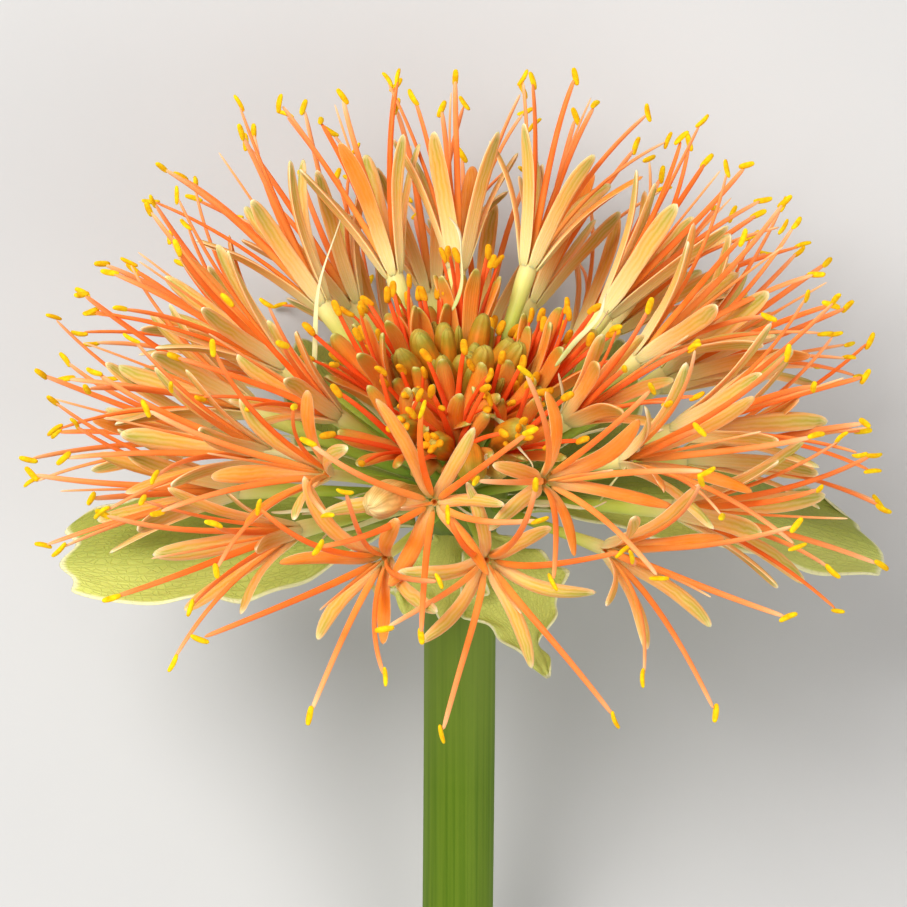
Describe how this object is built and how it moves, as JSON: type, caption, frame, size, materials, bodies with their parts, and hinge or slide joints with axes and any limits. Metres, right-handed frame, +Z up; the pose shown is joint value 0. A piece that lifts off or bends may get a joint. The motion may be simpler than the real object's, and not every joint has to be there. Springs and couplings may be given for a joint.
{
  "type": "blood lily flower",
  "caption": "Cut blood lily lying down: a round head of narrow orange florets with yellow anthers and a knot of buds, above pale green bracts on a thick green stem.",
  "frame": {"origin": "under the middle of the flower, on the surface that it lies on", "axes": "+Z up from the surface; +Y from the cut end of the stem to the crown of the head; +X to the right of the head, seen from above with the stem pointing at the viewer"},
  "size_m": [0.157, 0.1936, 0.133],
  "materials": {
    "stem": "fresh green plant stem, satin and waxy, with fine lengthwise lines",
    "bract": "pale olive green leaf, satin, with fine parallel veins",
    "floret": "soft satin petals, peach and orange with greenish tips, salmon filaments and yellow anthers",
    "young_floret": "soft satin petals, deep orange with green tips and orange-red filaments",
    "bud": "satin closed buds, orange-brown with green ribs and tips"
  },
  "bodies": {
    "root": {"bract_back_left": "bract", "bract_back_right": "bract", "bract_front_left": "bract", "bract_front_right": "bract", "bract_left": "bract", "bract_right": "bract", "bud_cluster": "bud", "inner_floret_01": "floret", "inner_floret_02": "floret", "inner_floret_03": "floret", "inner_floret_04": "floret", "inner_floret_05": "floret", "inner_floret_06": "floret", "inner_floret_07": "floret", "inner_floret_08": "floret", "inner_floret_09": "floret", "inner_floret_10": "floret", "inner_floret_11": "floret", "inner_floret_12": "floret", "middle_floret_01": "floret", "middle_floret_02": "floret", "middle_floret_03": "floret", "middle_floret_04": "floret", "middle_floret_05": "floret", "middle_floret_06": "floret", "middle_floret_07": "floret", "middle_floret_08": "floret", "middle_floret_09": "floret", "middle_floret_10": "floret", "middle_floret_11": "floret", "middle_floret_12": "floret", "middle_floret_13": "floret", "outer_floret_01": "floret", "outer_floret_02": "floret", "outer_floret_03": "floret", "outer_floret_04": "floret", "outer_floret_05": "floret", "outer_floret_06": "floret", "outer_floret_07": "floret", "outer_floret_08": "floret", "outer_floret_09": "floret", "outer_floret_10": "floret", "outer_floret_11": "floret", "outer_floret_12": "floret", "outer_floret_13": "floret", "stem": "stem", "young_floret_01": "young_floret", "young_floret_02": "young_floret", "young_floret_03": "young_floret", "young_floret_04": "young_floret", "young_floret_05": "young_floret", "young_floret_06": "young_floret", "young_floret_07": "young_floret", "young_floret_08": "young_floret", "young_floret_09": "young_floret", "young_floret_10": "young_floret", "young_floret_11": "young_floret", "young_floret_12": "young_floret"}
  },
  "joints": []
}
